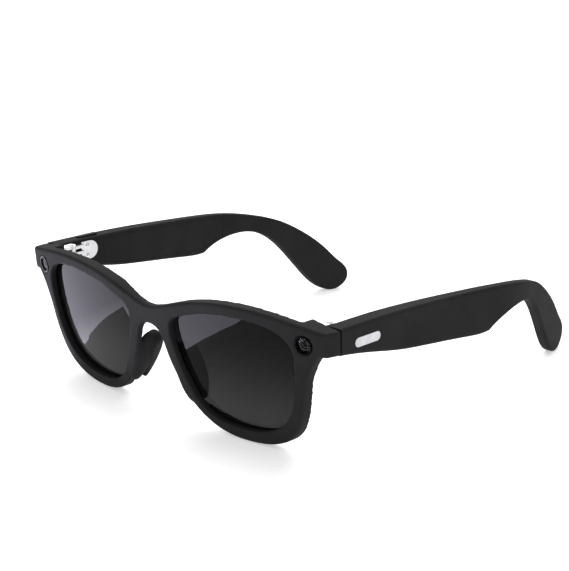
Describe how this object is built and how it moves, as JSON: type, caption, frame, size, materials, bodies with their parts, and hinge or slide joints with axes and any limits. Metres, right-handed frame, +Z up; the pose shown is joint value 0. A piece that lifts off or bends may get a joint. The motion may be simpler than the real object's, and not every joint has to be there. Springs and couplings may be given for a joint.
{
  "type": "smart glasses",
  "caption": "Sunglasses with a camera and a recording light in the front, and speakers, battery and controls in thick folding temples.",
  "frame": {"origin": "middle of the object's footprint, on the surface that the rims and the temple tips rest on", "axes": "+Z up, +X to the wearer's left, -Y the way the wearer looks; the temples run along +Y when open"},
  "size_m": [0.1482, 0.1574, 0.0476],
  "materials": {
    "frame_plastic": "charcoal nylon, moulded with a fine matte texture",
    "nose_pad_plastic": "the same nylon, left slightly finer grained",
    "lens_glass": "grey gradient sun lens, darker at the top",
    "control_plastic": "charcoal nylon, satin",
    "bezel_metal": "black anodised turned ring",
    "window_glass": "dark cover glass with a hard coating",
    "diffuser": "smoked diffuser over the recording lamp",
    "barrel_plastic": "black moulded housings of the electronic parts",
    "hinge_steel": "stainless steel, satin",
    "badge_metal": "plain satin pill with no marking",
    "contact_gold": "gold-plated charging contacts",
    "mesh_metal": "fine black-coated mesh and slotted strip",
    "circuit_board": "circuit board, flex and sensor film",
    "battery_foil": "foil pouch of the lithium cell",
    "can_metal": "tinned shield over the processor",
    "core_steel": "flat spring-steel core of each tip"
  },
  "bodies": {
    "front": {"front_frame": "frame_plastic", "brow_cover": "frame_plastic", "front_flex": "circuit_board", "lens_left": "lens_glass", "lens_right": "lens_glass", "nose_pad_left": "nose_pad_plastic", "nose_pad_right": "nose_pad_plastic", "nose_microphone": "barrel_plastic", "nose_microphone_mesh": "mesh_metal", "charge_contacts": "contact_gold", "camera_bezel": "bezel_metal", "camera_window": "window_glass", "camera_barrel": "barrel_plastic", "camera_lens": "window_glass", "camera_board": "circuit_board", "light_bezel": "bezel_metal", "light_window": "diffuser", "light_guide": "diffuser", "light_board": "circuit_board", "hinge_block_left": "hinge_steel", "hinge_block_right": "hinge_steel", "hinge_pins": "hinge_steel", "hinge_block_screws": "hinge_steel"},
    "left_temple": {"left_temple_shell": "frame_plastic", "left_temple_cover": "frame_plastic", "left_hinge_plate": "hinge_steel", "left_hinge_plate_screws": "hinge_steel", "left_speaker": "barrel_plastic", "left_speaker_grille": "mesh_metal", "left_microphone": "barrel_plastic", "left_tip_core": "core_steel", "left_badge": "badge_metal", "battery": "battery_foil", "power_board": "circuit_board", "slide_switch": "barrel_plastic"},
    "power_slide": {"power_slide": "control_plastic"},
    "right_temple": {"right_temple_shell": "frame_plastic", "right_temple_cover": "frame_plastic", "right_hinge_plate": "hinge_steel", "right_hinge_plate_screws": "hinge_steel", "right_speaker": "barrel_plastic", "right_speaker_grille": "mesh_metal", "right_microphone": "barrel_plastic", "right_tip_core": "core_steel", "right_badge": "badge_metal", "main_board": "circuit_board", "shield_can": "can_metal", "touch_sensor": "circuit_board", "button_switch": "barrel_plastic"},
    "shutter_button": {"shutter_button": "control_plastic"}
  },
  "joints": [
    {"name": "left_temple_fold", "type": "hinge", "parent": "front", "child": "left_temple", "pos_m": [0.065, -0.05989, 0.0415], "axis": [0, 0, 1], "range_deg": [0, 87]},
    {"name": "right_temple_fold", "type": "hinge", "parent": "front", "child": "right_temple", "pos_m": [-0.065, -0.05989, 0.0415], "axis": [0, 0, -1], "range_deg": [0, 75]},
    {"name": "power_slide_travel", "type": "slide", "parent": "left_temple", "child": "power_slide", "axis": [0, 1, 0], "range_m": [0, 0.002]},
    {"name": "shutter_press", "type": "slide", "parent": "right_temple", "child": "shutter_button", "axis": [0, 0, -1], "range_m": [0, 0.0004], "stiffness_N_per_m": 800}
  ]
}
